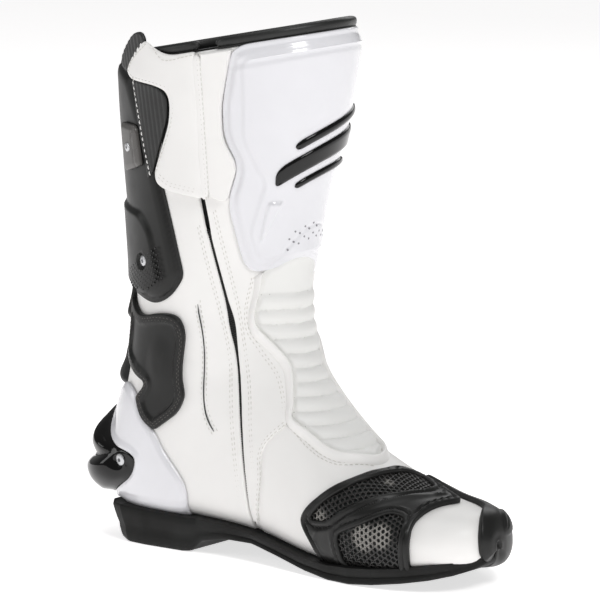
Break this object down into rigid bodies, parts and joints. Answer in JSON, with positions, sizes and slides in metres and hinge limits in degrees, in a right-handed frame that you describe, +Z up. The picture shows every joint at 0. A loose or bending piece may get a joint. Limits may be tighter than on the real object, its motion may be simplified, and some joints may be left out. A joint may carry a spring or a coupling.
{
  "type": "motorcycle racing boot",
  "caption": "Tall left road-racing boot with a flexing ankle, zip, closure flap, shin and calf plates, heel cup with bumper, shift pad and toe slider.",
  "frame": {"origin": "middle of the bounding box on the ground", "axes": "+X to the toe, +Y to the outer (lateral) side of the left boot, +Z up"},
  "size_m": [0.3188, 0.1266, 0.3486],
  "materials": {
    "white_leather": "fine grain",
    "white_plastic": "gloss",
    "rib_leather": "matt",
    "black_plastic": "satin",
    "black_gloss": "high gloss",
    "sole_rubber": "matt",
    "black_fabric": "woven",
    "foam": "closed-cell foam",
    "board": "pressed fibre",
    "grey_plastic": "satin",
    "steel": "satin"
  },
  "bodies": {
    "foot": {"accordion_front": "rib_leather", "achilles_scale_lower": "black_plastic", "achilles_scale_upper": "black_plastic", "ankle_guard_lateral": "black_plastic", "ankle_guard_medial": "black_plastic", "ankle_lateral": "white_leather", "ankle_medial_front": "white_leather", "ankle_medial_rear": "white_leather", "footbed": "black_fabric", "heel_bumper": "black_gloss", "heel_bumper_screw_lateral": "steel", "heel_bumper_screw_medial": "steel", "heel_counter": "black_plastic", "heel_cup": "white_plastic", "insole_board": "board", "lining_ankle": "black_fabric", "lining_foot": "black_fabric", "malleolus_pad_lateral": "foam", "malleolus_pad_medial": "foam", "outsole": "sole_rubber", "quarter_lateral": "white_leather", "quarter_medial_front": "white_leather", "quarter_medial_rear": "white_leather", "shift_pad": "black_plastic", "shift_pad_mesh": "steel", "toe_puff": "black_plastic", "toe_slider": "black_plastic", "toe_slider_screw": "steel", "vamp": "white_leather", "zip_ankle": "black_fabric", "zip_foot": "black_fabric"},
    "leg": {"shaft_medial_front": "white_leather", "shaft_medial_rear": "white_leather", "shaft_lateral": "white_leather", "lining_leg": "black_fabric", "collar_trim": "black_fabric", "shin_plate": "white_plastic", "shin_pad": "foam", "shin_bar_lower": "black_gloss", "shin_bar_middle": "black_gloss", "shin_bar_upper": "black_gloss", "calf_plate": "black_plastic", "calf_plate_screw_medial": "steel", "calf_plate_screw_lateral": "steel", "calf_adjuster_screw": "steel", "loop_patch": "black_fabric", "flap_anchor": "white_leather", "zip_half_front": "black_fabric", "zip_half_rear": "black_fabric", "zip_leg_end": "black_fabric"},
    "flap": {"closure_flap": "white_leather", "flap_ribbed_insert": "black_fabric", "flap_pull_tab": "black_plastic", "flap_hook_patch": "black_fabric"},
    "slider": {"zip_slider": "steel", "zip_puller": "black_plastic"},
    "adjuster": {"calf_adjuster": "grey_plastic"}
  },
  "joints": [
    {"name": "ankle_flex", "type": "hinge", "parent": "foot", "child": "leg", "pos_m": [-0.06682, 0.00263, 0.112], "axis": [0, 1, 0], "range_deg": [-8, 20], "stiffness_Nm_per_rad": 6, "deforming": ["accordion_front", "achilles_scale_upper", "achilles_scale_lower", "ankle_guard_medial", "ankle_guard_lateral", "ankle_medial_front", "ankle_medial_rear", "ankle_lateral", "lining_ankle", "zip_ankle", "malleolus_pad_medial", "malleolus_pad_lateral"]},
    {"name": "flap_hinge", "type": "hinge", "parent": "leg", "child": "flap", "pos_m": [-0.03929, -0.05358, 0.27009], "axis": [0.0125, -0.1118, 0.9937], "range_deg": [0, 100]},
    {"name": "zip_slide", "type": "slide", "parent": "leg", "child": "slider", "axis": [0.1347, 0.1199, -0.9836], "range_m": [0, 0.078]},
    {"name": "calf_adjust", "type": "slide", "parent": "leg", "child": "adjuster", "axis": [-0.0428, -0.0561, 0.9975], "range_m": [-0.0025, 0.0025]}
  ]
}
